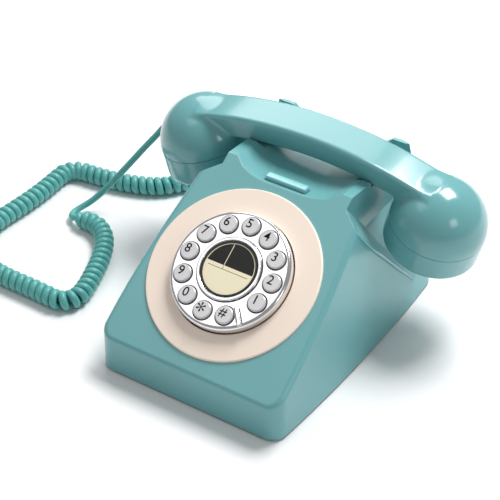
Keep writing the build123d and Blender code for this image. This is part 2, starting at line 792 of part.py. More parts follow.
for cap_name, side in (("ear_cap", 1), ("mouth_cap", -1)):
    seam = cap_plane(side)
    with BuildPart() as cap:
        with BuildSketch(seam.offset(-0.35)):
            Circle(CAP_RADIUS)
        extrude(amount=-CAP_DEPTH + 0.35)
        fillet(cap.faces().sort_by(Axis(seam.origin, seam.z_dir))[0].edges(), 4.5)
        with BuildSketch(seam.offset(-0.35)):
            Circle(CAP_RADIUS - 2.8)
        extrude(amount=-CAP_DEPTH + 3.2, mode=Mode.SUBTRACT)
        with BuildSketch(seam.offset(-CAP_DEPTH - 1)):
            Circle(1.2)
            with PolarLocations(7, 6):
                Circle(1.2)
            with PolarLocations(14, 12):
                Circle(1.2)
        extrude(amount=6, mode=Mode.SUBTRACT)
    write(cap, cap_name)

ear = cap_plane(1)
mouth = cap_plane(-1)
with BuildPart() as receiver:
    with BuildSketch(ear.offset(-CAP_DEPTH + 3.2)):
        Circle(22)
    extrude(amount=9)
    with BuildSketch(ear.offset(-CAP_DEPTH + 12.2)):
        Circle(11)
    extrude(amount=5)
write(receiver, "receiver")

with BuildPart() as microphone:
    with BuildSketch(mouth.offset(-CAP_DEPTH + 3.2)):
        Circle(22)
        Circle(6.1, mode=Mode.SUBTRACT)
    extrude(amount=2.2)
    with BuildSketch(mouth.offset(-CAP_DEPTH + 3.2)):
        Circle(6)
    extrude(amount=6)
write(microphone, "microphone")

with BuildPart() as handset_weight:
    with BuildSketch(handle_core.offset(-22)):
        Rectangle(11, 6.4)
        Circle(2, mode=Mode.SUBTRACT)
    extrude(amount=44)
write(handset_weight, "handset_weight")

with BuildPart() as cord_outlet:
    with BuildSketch(outlet.offset(3.5)):
        Circle(4.1)
    with BuildSketch(outlet.offset(18)):
        Circle(2.6)
    loft()
write(cord_outlet, "cord_outlet")


# ======================================================================== cord
def corner_radii(points):
    """As large an arc at each corner as its two runs allow."""
    radii = []
    for before, here, after in zip(points, points[1:], points[2:]):
        into = Vector(*here) - Vector(*before)
        out = Vector(*after) - Vector(*here)
        half_turn = math.radians(into.get_angle(out)) / 2
        radii.append(0.45 * min(into.length, out.length) / math.tan(half_turn))
    return radii


def cord_tube(points, diameter, name):
    """A round tube along straight runs joined by tangent arcs."""
    radii = corner_radii(points)
    with BuildPart() as tube:
        with BuildLine() as route:
            FilletPolyline(*points, radius=radii)
        with BuildSketch(Plane(origin=route.line @ 0, z_dir=route.line % 0)):
            Circle(diameter / 2)
        sweep(path=route.line)
    length = sum(edge.length for edge in route.edges())
    expected = math.pi * diameter**2 / 4 * length
    print(name, "length", round(length, 1), "volume/expected",
          round(tube.part.volume / expected, 4), "radii", [round(r, 1) for r in radii])
    write(tube, name)


outlet_end = outlet.offset(18).origin
handset_tail_route = [
    tuple(outlet_end),
    tuple(outlet_end + outlet_dir * 8),
    (-131.0, 64.0, 60.0),
    (-138.0, 57.5, 50.0),
    (-146.0, 49.5, 37.5),
    (-154.5, 41.5, 24.5),
    (-161.5, 35.5, 14.5),
    (-167.0, 30.0, 8.4),
    (-172.0, 24.5, 4.8),
    (-174.0, 18.0, 3.4),
    (-170.2, 12.6, 4.6),
    (-164.5, 12.98, COIL_Z),
    (-159.0, 13.2, COIL_Z),
]
coil_route = [
    (-159.0, 13.2, COIL_Z),
    (-149.0, 13.6, COIL_Z),
    (-139.0, 8.0, COIL_Z),
    (-131.0, -1.5, COIL_Z),
    (-124.0, -15.0, COIL_Z),
    (-118.0, -31.0, COIL_Z),
    (-113.0, -47.0, COIL_Z),
    (-112.5, -58.0, COIL_Z),
    (-119.0, -65.0, COIL_Z),
    (-130.0, -64.5, COIL_Z),
    (-146.0, -64.0, COIL_Z),
    (-166.0, -64.6, COIL_Z),
    (-186.0, -61.5, COIL_Z),
    (-201.0, -52.0, COIL_Z),
    (-208.0, -37.0, COIL_Z),
    (-208.5, -19.0, COIL_Z),
    (-206.0, 1.0, COIL_Z),
    (-204.5, 21.0, COIL_Z),
    (-205.0, 39.0, COIL_Z),
    (-205.5, 51.0, COIL_Z),
    (-198.0, 58.5, COIL_Z),
    (-186.0, 59.0, COIL_Z),
    (-167.0, 62.0, COIL_Z),
    (-148.0, 68.0, COIL_Z),
    (-135.0, 76.0, COIL_Z),
    (-127.0, 88.0, COIL_Z),
    (-118.5, 100.0, COIL_Z),
    (-108.0, 110.0, COIL_Z),
]
PLUG_OUT = BACK + 9.0
base_tail_route = [
    (-108.0, 110.0, COIL_Z),
    (-101.7, 116.0, COIL_Z),
    (-93.0, 125.5, 4.6),
    (-82.0, 133.5, 4.0),
    (-69.0, 136.5, 4.8),
    (-57.0, 131.5, 7.4),
    (-48.5, 122.5, 11.0),
    (-JACK_X, 112.5, JACK_Z),
    (-JACK_X, PLUG_OUT, JACK_Z),
]
cord_tube(handset_tail_route, TAIL, "cord_handset_end")
cord_tube(coil_route, COIL, "curly_cord")
cord_tube(base_tail_route, TAIL, "cord_base_end")

with BuildPart() as plug:
    with BuildSketch(Plane.XZ.offset(-(BACK - 12))):
        with Locations((-JACK_X, JACK_Z)):
            Rectangle(9.8, 6.6)
    extrude(amount=-(PLUG_OUT - BACK + 6))
    with BuildSketch(Plane.XZ.offset(-(PLUG_OUT - 6))):
        with Locations((-JACK_X, JACK_Z)):
            Rectangle(7.4, 5.2)
    extrude(amount=-6)
write(plug, "handset_plug")
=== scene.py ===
"""Looks of the desk telephone: materials, handset's skin, curly cord, dial's print, light and camera."""

import math

import bmesh
import bpy
import numpy as np
from mathutils import Matrix, Vector


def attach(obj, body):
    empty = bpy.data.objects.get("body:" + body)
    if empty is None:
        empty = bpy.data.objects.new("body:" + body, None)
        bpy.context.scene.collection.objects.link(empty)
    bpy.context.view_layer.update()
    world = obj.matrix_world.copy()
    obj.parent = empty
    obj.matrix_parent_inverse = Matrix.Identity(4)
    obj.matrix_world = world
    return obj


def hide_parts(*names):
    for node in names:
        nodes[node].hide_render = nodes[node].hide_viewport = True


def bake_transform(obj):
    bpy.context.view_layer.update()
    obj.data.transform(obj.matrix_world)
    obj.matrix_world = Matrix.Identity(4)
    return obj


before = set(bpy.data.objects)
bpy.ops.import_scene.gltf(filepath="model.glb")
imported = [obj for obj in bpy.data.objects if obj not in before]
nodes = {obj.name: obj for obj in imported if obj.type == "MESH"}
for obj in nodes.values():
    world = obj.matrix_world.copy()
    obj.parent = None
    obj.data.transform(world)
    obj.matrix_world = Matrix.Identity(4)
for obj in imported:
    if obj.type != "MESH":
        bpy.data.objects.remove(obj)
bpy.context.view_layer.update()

# ------------------------------------------------------------------ camera
CAMERA_PLACE = (0.4451, -0.7075, 0.7060)
CAMERA_AZIMUTH = 33.08
CAMERA_ELEVATION = 37.84
FOCAL_LENGTH = 122.9
SENSOR_WIDTH = 36

camera_data = bpy.data.cameras.new("camera")
camera_data.lens = FOCAL_LENGTH
camera_data.sensor_width = SENSOR_WIDTH
camera = bpy.data.objects.new("camera", camera_data)
camera.location = CAMERA_PLACE
camera.rotation_euler = (math.radians(90 - CAMERA_ELEVATION), 0, math.radians(CAMERA_AZIMUTH))
bpy.context.scene.collection.objects.link(camera)
bpy.context.scene.camera = camera
bpy.context.scene.view_settings.view_transform = "Standard"


# --------------------------------------------------------------- small tools
MM = 0.001


def add_object(name, data, body):
    """A new object, which rides on a body if one is named."""
    made = bpy.data.objects.new(name, data)
    bpy.context.scene.collection.objects.link(made)
    if body:
        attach(made, body)
    return made


def mesh_of(name, points, faces, smooth=True):
    """A mesh from points in metres and faces."""
    mesh = bpy.data.meshes.new(name)
    mesh.from_pydata([tuple(p) for p in points], [], [tuple(f) for f in faces])
    mesh.polygons.foreach_set("use_smooth", [smooth] * len(mesh.polygons))
    mesh.update()
    return mesh


# --------------------------------------------------------------------- cord
WIRE = 4.4 * MM               # diameter of the cord itself
COIL = 13.4 * MM              # outer diameter of its coils
COIL_PITCH = 5.5 * MM
COIL_Z = 6.8                  # height of the coil's middle, in the route's millimetres
COIL_START = 0.112            # length of straight cord from the handset to the first turn, metres
COIL_END = 0.102              # and from the last turn to the plug
TURN_STEPS = 18
RAMP_TURNS = 1.2              # the coil opens out over this many turns at each end
WIRE_STEP = 1.5 * MM
WIRE_SIDES = 10
WIRE_FLAT = 0.18              # in the coil the wire is wider along the route by this fraction
SAME_PLACE = 1e-7             # points closer than this, in metres, count as one

cord_route = [
    (-120.62, 64.94, 70.91),
    (-127.17, 66.70, 66.67),
    (-131.0, 64.0, 60.0),
    (-138.0, 57.5, 50.0),
    (-146.0, 49.5, 37.5),
    (-154.5, 41.5, 24.5),
    (-161.5, 35.5, 14.5),
    (-167.0, 30.0, 8.4),
    (-172.0, 24.5, 4.8),
    (-174.0, 18.0, 3.4),
    (-170.2, 12.6, 4.6),
    (-164.5, 12.98, COIL_Z),
    (-159.0, 13.2, COIL_Z),
    (-149.0, 13.6, COIL_Z),
    (-139.0, 8.0, COIL_Z),
    (-131.0, -1.5, COIL_Z),
    (-124.0, -15.0, COIL_Z),
    (-118.0, -31.0, COIL_Z),
    (-113.0, -47.0, COIL_Z),
    (-112.5, -58.0, COIL_Z),
    (-119.0, -65.0, COIL_Z),
    (-130.0, -64.5, COIL_Z),
    (-146.0, -64.0, COIL_Z),
    (-166.0, -64.6, COIL_Z),
    (-186.0, -61.5, COIL_Z),
    (-201.0, -52.0, COIL_Z),
    (-208.0, -37.0, COIL_Z),
    (-208.5, -19.0, COIL_Z),
    (-206.0, 1.0, COIL_Z),
    (-204.5, 21.0, COIL_Z),
    (-205.0, 39.0, COIL_Z),
    (-205.5, 51.0, COIL_Z),
    (-198.0, 58.5, COIL_Z),
    (-186.0, 59.0, COIL_Z),
    (-167.0, 62.0, COIL_Z),
    (-148.0, 68.0, COIL_Z),
    (-135.0, 76.0, COIL_Z),
    (-127.0, 88.0, COIL_Z),
    (-118.5, 100.0, COIL_Z),
    (-108.0, 110.0, COIL_Z),
    (-101.7, 116.0, COIL_Z),
    (-93.0, 125.5, 4.6),
    (-82.0, 133.5, 4.0),
    (-69.0, 136.5, 4.8),
    (-57.0, 131.5, 7.4),
    (-48.5, 122.5, 11.0),
    (-45.0, 112.5, 14.0),
    (-45.0, 104.0, 14.0),
]


def nurbs_line(name, points):
    """Points in metres along a smooth spline whose control points are given in millimetres."""
    curve = bpy.data.curves.new(name, "CURVE")
    curve.dimensions = "3D"
    spline = curve.splines.new("NURBS")
    spline.points.add(len(points) - 1)
    for slot, place in zip(spline.points, points):
        slot.co = (place[0] * MM, place[1] * MM, place[2] * MM, 1)
    spline.order_u = 3
    spline.use_endpoint_u = True
    spline.resolution_u = 24
    carrier = bpy.data.objects.new(name, curve)
    bpy.context.scene.collection.objects.link(carrier)
    bpy.context.view_layer.update()
    mesh = bpy.data.meshes.new_from_object(carrier.evaluated_get(bpy.context.evaluated_depsgraph_get()))
    line = np.array([vertex.co[:] for vertex in mesh.vertices])
    bpy.data.objects.remove(carrier)
    bpy.data.meshes.remove(mesh)
    return line


def read_off(wanted, along, values):
    """Values given along a line, read at other distances along it."""
    return np.stack([np.interp(wanted, along, values[:, axis]) for axis in range(3)], axis=1)


def directions(line):
    """Unit direction of a line at each of its points."""
    ahead = np.gradient(line, axis=0)
    return ahead / np.linalg.norm(ahead, axis=1)[:, None]


def spaced(line, step):
    """The same line at equal steps, with the distance of each point from its start."""
    gaps = np.linalg.norm(np.diff(line, axis=0), axis=1)
    line = line[np.concatenate([[True], gaps > SAME_PLACE])]
    gaps = gaps[gaps > SAME_PLACE]
    along = np.concatenate([[0], np.cumsum(gaps)])
    wanted = np.linspace(0, along[-1], max(2, int(round(along[-1] / step)) + 1))
    return read_off(wanted, along, line), wanted


def carried_frames(line):
    """Two directions across a line at each of its points, turning as little as possible."""
    ahead = directions(line)
    side = np.cross(ahead[0], (0.0, 0.0, 1.0))
    side /= np.linalg.norm(side)
    sides = []
    for direction in ahead:
        side = side - direction * side.dot(direction)
        side = side / np.linalg.norm(side)
        sides.append(side)
    sides = np.array(sides)
    return sides, np.cross(ahead, sides)


def tube(name, line, radius, sides, wide=None):
    """A tube along a line, closed at both ends, and widened along the directions in wide, if given."""
    across, upward = carried_frames(line)
    turn = np.linspace(0, 2 * math.pi, sides, endpoint=False)
    ring = across[:, None, :] * np.cos(turn)[None, :, None]
    ring = ring + upward[:, None, :] * np.sin(turn)[None, :, None]
    if wide is not None:
        ring = ring + (ring * wide[:, None, :]).sum(axis=2, keepdims=True) * wide[:, None, :]
    radius = np.broadcast_to(radius, (len(line),))
    points = (line[:, None, :] + ring * radius[:, None, None]).reshape(-1, 3)
    faces = []
    for row in range(len(line) - 1):
        here, there = row * sides, (row + 1) * sides
        for column in range(sides):
            beside = (column + 1) % sides
            faces.append((here + column, here + beside, there + beside, there + column))
    faces.append(tuple(range(sides))[::-1])
    faces.append(tuple(range((len(line) - 1) * sides, len(line) * sides)))
    return mesh_of(name, points, faces)


cord_line, cord_along = spaced(nurbs_line("cord_route", cord_route), COIL_PITCH / TURN_STEPS)
cord_across, cord_up = carried_frames(cord_line)
coil_length = cord_along[-1] - COIL_START - COIL_END
coil_turns = round(coil_length / COIL_PITCH)
coil_part = np.clip((cord_along - COIL_START) / coil_length, 0, 1)
ramp = RAMP_TURNS / coil_turns
coil_swell = np.clip(np.minimum(coil_part, 1 - coil_part) / ramp, 0, 1)
coil_swell = coil_swell * coil_swell * (3 - 2 * coil_swell)
coil_angle = (2 * math.pi * coil_turns * coil_part)[:, None]
coil_reach = ((COIL - WIRE) / 2 * coil_swell)[:, None]
cord_path = cord_line + coil_reach * (cord_across * np.cos(coil_angle) + cord_up * np.sin(coil_angle))
cord_wide = directions(cord_line) * (math.sqrt(WIRE_FLAT) * coil_swell)[:, None]
wire_gaps = np.linalg.norm(np.diff(cord_path, axis=0), axis=1)
turned_along = np.concatenate([[0], np.cumsum(wire_gaps)])
cord_path, wire_along = spaced(cord_path, WIRE_STEP)
wire_wide = read_off(wire_along, turned_along, cord_wide)
cord = add_object("cord", tube("cord", cord_path, WIRE / 2, WIRE_SIDES, wire_wide), None)
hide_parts("cord_handset_end", "curly_cord", "cord_base_end")
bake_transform(cord)


# --------------------------------------------------------- handset's skin
# sizes here are in millimetres, in the handset's own axes
HANDSET_PLACE = np.array([0.0, 55.5, 77.7])
LEAN = math.radians(4.0)
CAP_TILT = math.radians(15.0)
CAP_X = 85.4
CAP_RADIUS = 30.8
HANDLE_TOP = 42.3
HANDLE_RADIUS = 262.0
HANDLE_THICK = 18.5
HANDLE_HALF = 13.5            # half width of the handle's top face
HANDLE_LOW_HALF = 10.0
HANDLE_REACH = 84.0
HANDLE_EDGE = 2.4             # rounding of its long edges
BLEND = 4.0                   # how softly the handle runs into the domes
SKIN_STEP = 1.0
DRUM = 4.0                    # the domes are made this much too long, then cut at the seams
SKIN_MARGIN = 3.0             # room round the skin in the grid
SKIN_BELOW = 12.0
END_FROM = 50.0               # points further out than this belong to one end
SLOPE_REACH = 0.05
SETTLE_ROUNDS = 4             # steps that bring the net onto the surface
LEAST_SLOPE = 0.2
handset_axes = np.array([
    (1, 0, 0),
    (0, math.cos(LEAN), math.sin(LEAN)),
    (0, -math.sin(LEAN), math.cos(LEAN)),
])


def seam_normal(side):
    """Normal of a seam, in the handset's own axes."""
    return np.array([side * math.sin(CAP_TILT), 0.0, math.cos(CAP_TILT)])


def dome_distance(points, side):
    """Distance from a dome, which runs on below its seam as a drum."""
    from_seam = points - np.array([side * CAP_X, 0, 0])
    height = from_seam @ seam_normal(side)
    below = np.minimum(height, 0)[..., None] * seam_normal(side)
    return np.maximum(np.linalg.norm(from_seam - below, axis=-1) - CAP_RADIUS, -height - DRUM)


def handle_distance(points):
    """Distance from the arched handle."""
    drop = HANDLE_RADIUS - HANDLE_TOP
    level = np.hypot(points[..., 0], points[..., 2] + drop) - HANDLE_RADIUS
    taper = (HANDLE_HALF - HANDLE_LOW_HALF) / HANDLE_THICK
    flank = (np.abs(points[..., 1]) - HANDLE_HALF - level * taper) / math.hypot(1, taper)
    upright = np.maximum(level, -HANDLE_THICK - level) + HANDLE_EDGE
    flank = flank + HANDLE_EDGE
    outside = np.hypot(np.maximum(upright, 0), np.maximum(flank, 0))
    section = outside + np.minimum(np.maximum(upright, flank), 0) - HANDLE_EDGE
    return np.maximum(section, np.abs(points[..., 0]) - HANDLE_REACH)


def skin_distance(points):
    """Distance from the whole skin: the handle flows into both domes."""
    domes = np.minimum(dome_distance(points, -1), dome_distance(points, 1))
    handle = handle_distance(points)
    near = np.clip(BLEND - np.abs(domes - handle), 0, None) / BLEND
    return np.minimum(domes, handle) - near**2 * BLEND / 4


def slope_of(distance, points):
    """Gradient of a distance field."""
    parts = []
    for axis in range(3):
        shift = np.zeros(3)
        shift[axis] = SLOPE_REACH
        parts.append((distance(points + shift) - distance(points - shift)) / (2 * SLOPE_REACH))
    return np.stack(parts, axis=-1)


def net_over(distance, low, high, step):
    """Quads over the surface where a distance field is zero."""
    counts = [int(math.ceil((end - start) / step)) + 1 for start, end in zip(low, high)]
    axes = [start + step * np.arange(count) for start, count in zip(low, counts)]
    grid = np.stack(np.meshgrid(*axes, indexing="ij"), axis=-1)
    inside = distance(grid) < 0
    filled = np.zeros([count - 1 for count in counts], int)
    for i in (0, 1):
        for j in (0, 1):
            for k in (0, 1):
                filled += inside[i:counts[0] - 1 + i, j:counts[1] - 1 + j, k:counts[2] - 1 + k]
    crossed = (filled > 0) & (filled < 8)
    number = -np.ones(crossed.shape, int)
    number[crossed] = np.arange(crossed.sum())
    points = np.array(low) + step * (np.argwhere(crossed) + 0.5)
    for _ in range(SETTLE_ROUNDS):
        fall = slope_of(distance, points)
        steep = np.maximum((fall**2).sum(axis=1), LEAST_SLOPE)
        points = points - distance(points)[:, None] * fall / steep[:, None]
    quads = []
    for axis in range(3):
        other = [across for across in range(3) if across != axis]
        first = np.take(inside, range(counts[axis] - 1), axis)
        second = np.take(inside, range(1, counts[axis]), axis)
        for place in np.argwhere(first != second):
            corner = []
            for back in ((0, 0), (1, 0), (1, 1), (0, 1)):
                cell = place.copy()
                cell[other[0]] -= back[0]
                cell[other[1]] -= back[1]
                corner.append(number[tuple(cell)])
            if first[tuple(place)] == (axis == 1):
                corner.reverse()
            quads.append(corner)
    return points, quads


def handset_skin():
    """The handle and the two domes as one moulding, cut off flat at the seams."""
    reach_x = CAP_X + CAP_RADIUS + SKIN_MARGIN
    reach_y = CAP_RADIUS + SKIN_MARGIN
    low = (-reach_x, -reach_y, -DRUM - SKIN_BELOW)
    high = (reach_x, reach_y, HANDLE_TOP + SKIN_MARGIN)
    points, quads = net_over(skin_distance, low, high, SKIN_STEP)
    mesh = mesh_of("handset_skin", points, quads)
    form = bmesh.new()
    form.from_mesh(mesh)
    for side in (-1, 1):
        end = [v for v in form.verts if v.co.x * side > END_FROM]
        kept = set(end)
        edges = [e for e in form.edges if e.verts[0] in kept and e.verts[1] in kept]
        faces = [f for f in form.faces if all(v in kept for v in f.verts)]
        bmesh.ops.bisect_plane(
            form, geom=end + edges + faces, plane_co=(side * CAP_X, 0, 0),
            plane_no=seam_normal(side), clear_inner=True,
        )
    form.to_mesh(mesh)
    form.free()
    local = np.array([v.co[:] for v in mesh.vertices])
    facing = slope_of(skin_distance, local)
    facing /= np.linalg.norm(facing, axis=1)[:, None]
    placed = (local @ handset_axes + HANDSET_PLACE) * MM
    mesh.vertices.foreach_set("co", placed.ravel())
    mesh.update()
    mesh.normals_split_custom_set_from_vertices([tuple(n) for n in facing @ handset_axes])
    return mesh


skin = add_object("handset_skin", handset_skin(), "handset")
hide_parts("handset_shell")

# ---------------------------------------------------------------- materials
TEAL = (110, 173, 176)
LENS_ALPHA = 0.012


def linear(rgb):
    """A colour given in 0-255 display values, as the shader wants it."""
    made = []
    for value in rgb:
        value = value / 255
        made.append(value / 12.92 if value <= 0.04045 else ((value + 0.055) / 1.055) ** 2.4)
    return (*made, 1.0)


def material(name, colour, roughness, variation=0.04, grain=900.0, bump=0.03, metallic=0.0,
             coat=0.0, rough_spread=0.06, specular=0.5, edge=0.0):
    """Moulded plastic or metal: slight colour drift, fine grain in the gloss and a shallow surface bump."""
    made = bpy.data.materials.new(name)
    made.use_nodes = True
    tree = made.node_tree
    shader = tree.nodes["Principled BSDF"]
    shader.inputs["Metallic"].default_value = metallic
    shader.inputs["Coat Weight"].default_value = coat
    shader.inputs["Coat Roughness"].default_value = 0.08
    shader.inputs["Specular IOR Level"].default_value = specular
    place = tree.nodes.new("ShaderNodeTexCoord")
    broad = tree.nodes.new("ShaderNodeTexNoise")
    broad.inputs["Scale"].default_value = 14.0
    broad.inputs["Detail"].default_value = 3.0
    fine = tree.nodes.new("ShaderNodeTexNoise")
    fine.inputs["Scale"].default_value = grain
    fine.inputs["Detail"].default_value = 2.0
    tree.links.new(place.outputs["Object"], broad.inputs["Vector"])
    tree.links.new(place.outputs["Object"], fine.inputs["Vector"])
    tint = tree.nodes.new("ShaderNodeValToRGB")
    low, high = tint.color_ramp.elements
    base = linear(colour)
    low.color = (*[c * (1 - variation) for c in base[:3]], 1)
    high.color = (*[min(1.0, c * (1 + variation)) for c in base[:3]], 1)
    low.position, high.position = 0.3, 0.7
    tree.links.new(broad.outputs["Fac"], tint.inputs["Fac"])
    tree.links.new(tint.outputs["Color"], shader.inputs["Base Color"])
    gloss = tree.nodes.new("ShaderNodeMapRange")
    gloss.inputs["To Min"].default_value = max(0.02, roughness - rough_spread)
    gloss.inputs["To Max"].default_value = roughness + rough_spread
    tree.links.new(fine.outputs["Fac"], gloss.inputs["Value"])
    tree.links.new(gloss.outputs["Result"], shader.inputs["Roughness"])
    if edge:
        rounding = tree.nodes.new("ShaderNodeBevel")
        rounding.samples = 6
        rounding.inputs["Radius"].default_value = edge
        tree.links.new(rounding.outputs["Normal"], shader.inputs["Normal"])
    if bump:
        relief = tree.nodes.new("ShaderNodeBump")
        if edge:
            tree.links.new(rounding.outputs["Normal"], relief.inputs["Normal"])
        relief.inputs["Strength"].default_value = bump
        relief.inputs["Distance"].default_value = 0.0002
        tree.links.new(fine.outputs["Fac"], relief.inputs["Height"])
        tree.links.new(relief.outputs["Normal"], shader.inputs["Normal"])
    return made


clear = material("clear", (250, 250, 246), 0.06, variation=0.01, bump=0.01, rough_spread=0.03, specular=0.2)
clear.node_tree.nodes["Principled BSDF"].inputs["Alpha"].default_value = LENS_ALPHA
looks = {
    "clear": clear,
    "teal": material("teal", TEAL, 0.3, variation=0.03, coat=0.16, bump=0.02, edge=0.0009),
    # painted light: the recall bar's teal is a lighter copy of the case's, standing in for its brightly lit
    # top
    "bar_painted_light": material("bar_painted_light", (140, 206, 210), 0.18, variation=0.03, coat=0.6, bump=0.02, edge=0.0006),
    "moulded": material("moulded", TEAL, 0.2, variation=0.03, coat=0.45, bump=0.02),
    "cord": material("cord", (92, 172, 168), 0.36, variation=0.05, grain=1400, bump=0.05),
    "cream": material("cream", (253, 236, 220), 0.38, variation=0.015, coat=0.1, bump=0.02),
    "chrome": material("chrome", (236, 236, 238), 0.16, variation=0.01, metallic=1.0, bump=0.01,
                       rough_spread=0.03),
    "silver": material("silver", (214, 212, 214), 0.3, variation=0.03, metallic=0.35, coat=0.3, bump=0.02),
    "black": material("black", (38, 36, 36), 0.35, variation=0.08, bump=0.03),
    "shade": material("shade", (44, 42, 44), 0.5, variation=0.1, bump=0.02),
    "ink": material("ink", (11, 10, 10), 0.6, variation=0.05, bump=0.02, specular=0.2),
    "paper": material("paper", (250, 241, 208), 0.6, variation=0.02, grain=2600, bump=0.05),
    "rubber": material("rubber", (34, 34, 35), 0.75, variation=0.1, grain=1500, bump=0.2),
    "steel": material("steel", (168, 170, 174), 0.34, variation=0.04, metallic=1.0, bump=0.04),
    "zinc": material("zinc", (182, 184, 184), 0.45, variation=0.08, metallic=0.9, grain=420, bump=0.08),
    "brass": material("brass", (200, 164, 92), 0.28, variation=0.05, metallic=1.0, bump=0.03),
    "copper": material("copper", (176, 104, 62), 0.35, variation=0.08, metallic=1.0, grain=2000, bump=0.15),
    "board": material("board", (38, 92, 58), 0.5, variation=0.1, grain=700, bump=0.06),
    "grey": material("grey", (120, 124, 126), 0.5, variation=0.05, bump=0.08),
    "pale": material("pale", (206, 206, 200), 0.5, variation=0.03, bump=0.05),
}

# ------------------------------------------------------------------ the CAD nodes' own looks
node_looks = {
    "teal": ["case", "plunger_left", "plunger_right"],
    # the recall bar gets the lighter teal that paints its lit top
    "bar_painted_light": ["recall_bar"],
    "moulded": ["handset_shell", "ear_cap", "mouth_cap", "cord_outlet", "handset_plug"],
    "clear": ["redial_lens"],
    "cord": ["curly_cord", "cord_handset_end", "cord_base_end"],
    "cream": ["dial_surround"],
    "chrome": ["dial_plate", "centre_bezel", "finger_stop"],
    "silver": [f"key_{name}" for name in "1234567890"] + ["key_star", "key_hash"],
    "black": ["redial_button", "handset_jack", "line_jack", "volume_switch", "base_plate", "keypad_cup"],
    "paper": ["redial_label"],
    "rubber": ["rubber_feet", "key_mat"],
    "steel": ["case_screws", "hook_bracket", "ringer_frame", "gong_screws", "hook_lever", "receiver",
              "microphone"],
    "zinc": ["base_weight", "handset_weight"],
    "brass": ["gong_left", "gong_right"],
    "copper": ["ringer_coil"],
    "board": ["main_board", "keypad_board"],
    "grey": ["board_components", "clapper"],
    "pale": ["board_posts", "hook_switch", "volume_knob"],
}
for look, names in node_looks.items():
    for name in names:
        nodes[name].data.materials.clear()
        nodes[name].data.materials.append(looks[look])

for piece, look in ((cord, "cord"), (skin, "moulded")):
    piece.data.materials.append(looks[look])

# ---------------------------------------------------------------- dial's print and painted shade
SLOPE = math.radians(33.2)
CASE_FRONT = -0.095           # the case's front edge, and the height at which its slope starts
FRONT_HEIGHT = 0.027
DIAL_SHIFT = -0.0019
DIAL_UP = 0.0662              # the dial's centre lies this far up the slope
DIAL_PLACE = Vector((
    DIAL_SHIFT,
    CASE_FRONT + DIAL_UP * math.cos(SLOPE),
    FRONT_HEIGHT + DIAL_UP * math.sin(SLOPE),
))
KEY_RING = 29.5 * MM
KEY_FIRST = math.radians(-25.4)
KEY_PITCH = math.radians(28.96)
KEY_FACE = 9.6 * MM
PLATE_FACE = 7.8 * MM
PRINT_AND_SHADE_HIGH = 0.04 * MM        # print and painted shade lines stand this far above their surface
WELL_INNER = 5.85 * MM        # painted shade: dark ring round each key, where its gap falls dark
WELL_OUTER = 6.55 * MM
RIM_INNER = 20.75 * MM        # painted shade: dark ring round the bezel, where it meets the plate
RIM_OUTER = 21.3 * MM
STOP_LAG = 0.9                # key pitches from key 1 back to the finger stop
STOP_ANGLE = KEY_FIRST - STOP_LAG * KEY_PITCH
STOP_NEAR = 26.2 * MM         # the finger stop's painted shade lines run between these distances from the middle
STOP_FAR = 36.0 * MM
STOP_FACE = 9.4 * MM
STOP_SIDE = 1.95 * MM         # the painted shade line beside the stop, on the plate
STOP_TOP_SIDE = -0.8 * MM     # and the painted shade line on its top edge, clear of the hash key
STOP_WIDTH = 0.25 * MM
STOP_TOP_WIDTH = 0.4 * MM
DIGIT_SIZE = 8.3 * MM
DIGIT_LEFT = -1.2 * MM
DIGIT_UP = 1.0 * MM
DIGIT_STROKE = 0.06 * MM      # added to the strokes
STAR_SIZE = 1.7 * DIGIT_SIZE
STAR_DROP = -2.6 * MM
RING_STEPS = 40
LABEL_FACE = 8.86 * MM
LABEL_RADIUS = 16.7 * MM
LABEL_SPLIT = 0.9 * MM        # level where black meets cream
LABEL_STEPS = 32
DIVIDER = -4 * MM             # the divider stands left of the middle
DIVIDER_TOP = 15.4 * MM
DIVIDER_WIDTH = 0.45 * MM
RULE_LEVEL = -1.6 * MM
RULE_HALF = 14 * MM
EDGE_INNER = 16.1 * MM        # light ring at the label's edge
EDGE_OUTER = 16.65 * MM
THIN = 0.3 * MM
LINE_FACE = LABEL_FACE + PRINT_AND_SHADE_HIGH / 2
key_faces = [(name, name, DIGIT_SIZE, 0) for name in "1234567890"]
key_faces.append(("star", "*", STAR_SIZE, STAR_DROP))
key_faces.append(("hash", "#", DIGIT_SIZE, 0))
dial_axes = Matrix.Rotation(SLOPE, 4, "X")
dial_axes.translation = DIAL_PLACE
key_centres = []
for index in range(len(key_faces)):
    angle = KEY_FIRST + KEY_PITCH * index
    key_centres.append((KEY_RING * math.cos(angle), KEY_RING * math.sin(angle)))


def lettering(name, text, size, place, body, look):
    """Printed characters, flat on the dial's plane."""
    font = bpy.data.curves.new(name, "FONT")
    font.body = text
    font.size = size
    font.align_x = "CENTER"
    font.align_y = "CENTER"
    font.offset = DIGIT_STROKE
    font.extrude = PRINT_AND_SHADE_HIGH / 2
    carrier = bpy.data.objects.new(name, font)
    bpy.context.scene.collection.objects.link(carrier)
    bpy.context.view_layer.update()
    mesh = bpy.data.meshes.new_from_object(carrier.evaluated_get(bpy.context.evaluated_depsgraph_get()))
    bpy.data.objects.remove(carrier)
    mesh.transform(dial_axes @ Matrix.Translation(place))
    printed = add_object(name, mesh, body)
    printed.data.materials.clear()
    printed.data.materials.append(looks[look])
    return printed


for centre, (key_name, character, size, drop) in zip(key_centres, key_faces):
    spot = (centre[0] + DIGIT_LEFT, centre[1] + DIGIT_UP + drop, KEY_FACE + PRINT_AND_SHADE_HIGH)
    digit = lettering(f"digit_{key_name}", character, size, spot, f"key_{key_name}", "ink")


def on_dial(points, height):
    """Points of the dial's plane, as row-frame points at a height over it."""
    return [dial_axes @ Vector((u, v, height)) for u, v in points]


